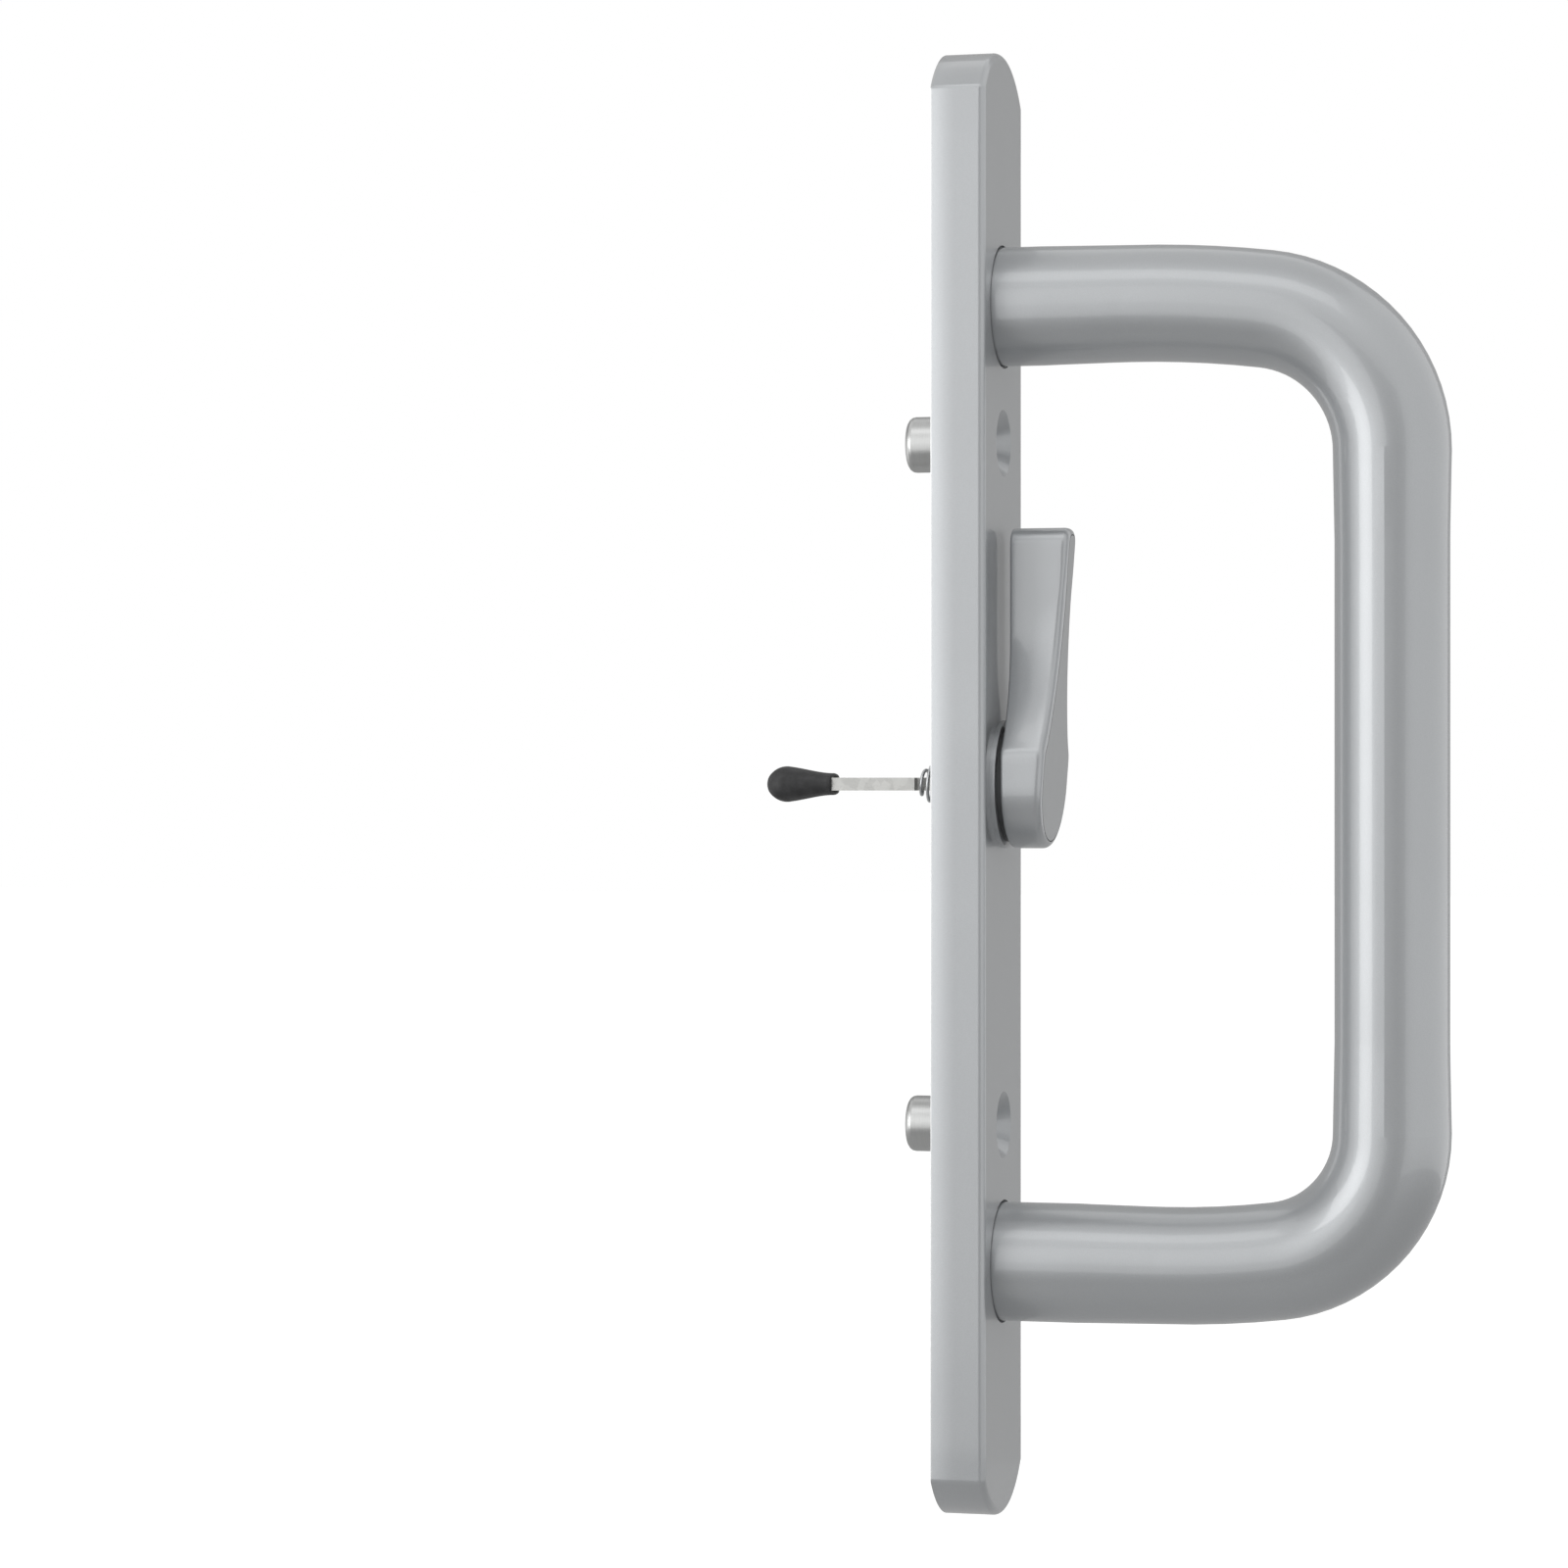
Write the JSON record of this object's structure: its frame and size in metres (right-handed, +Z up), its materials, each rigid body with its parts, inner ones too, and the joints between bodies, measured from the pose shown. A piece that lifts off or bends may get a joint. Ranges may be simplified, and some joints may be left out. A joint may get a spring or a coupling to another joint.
{
  "type": "sliding patio door handle",
  "caption": "Interior handle of a sliding patio door: a round D-shaped pull on a long round-ended plate, with a thumb lever, a spring-held tailpiece and hollow locating posts.",
  "frame": {"origin": "on the spindle axis at the plane of the door face, midway between the two screw holes", "axes": "+Z up along the plate, -Y out of the door towards the room, +X across the plate"},
  "size_m": [0.0254, 0.1011, 0.2142],
  "materials": {
    "silver_paint": "satin",
    "plated_steel": "satin",
    "galvanised_steel": "satin",
    "dark_plastic": "matte",
    "black_rubber": "matte"
  },
  "bodies": {
    "handle": {"escutcheon_plate": "silver_paint", "d_pull": "silver_paint", "pull_screw_upper": "plated_steel", "pull_screw_lower": "plated_steel", "pull_lock_washer_upper": "plated_steel", "pull_lock_washer_lower": "plated_steel", "lever_bushing": "dark_plastic"},
    "thumb_turn": {"latch_lever": "silver_paint", "friction_washer": "dark_plastic", "retaining_ring": "plated_steel", "tailpiece_bar": "galvanised_steel", "tailpiece_pin": "plated_steel", "tailpiece_spring": "plated_steel", "tailpiece_cap": "black_rubber"}
  },
  "joints": [
    {"name": "lever_turn", "type": "hinge", "parent": "handle", "child": "thumb_turn", "pos_m": [0, 0, 0], "axis": [0, -1, 0], "range_deg": [-90, 90]}
  ]
}
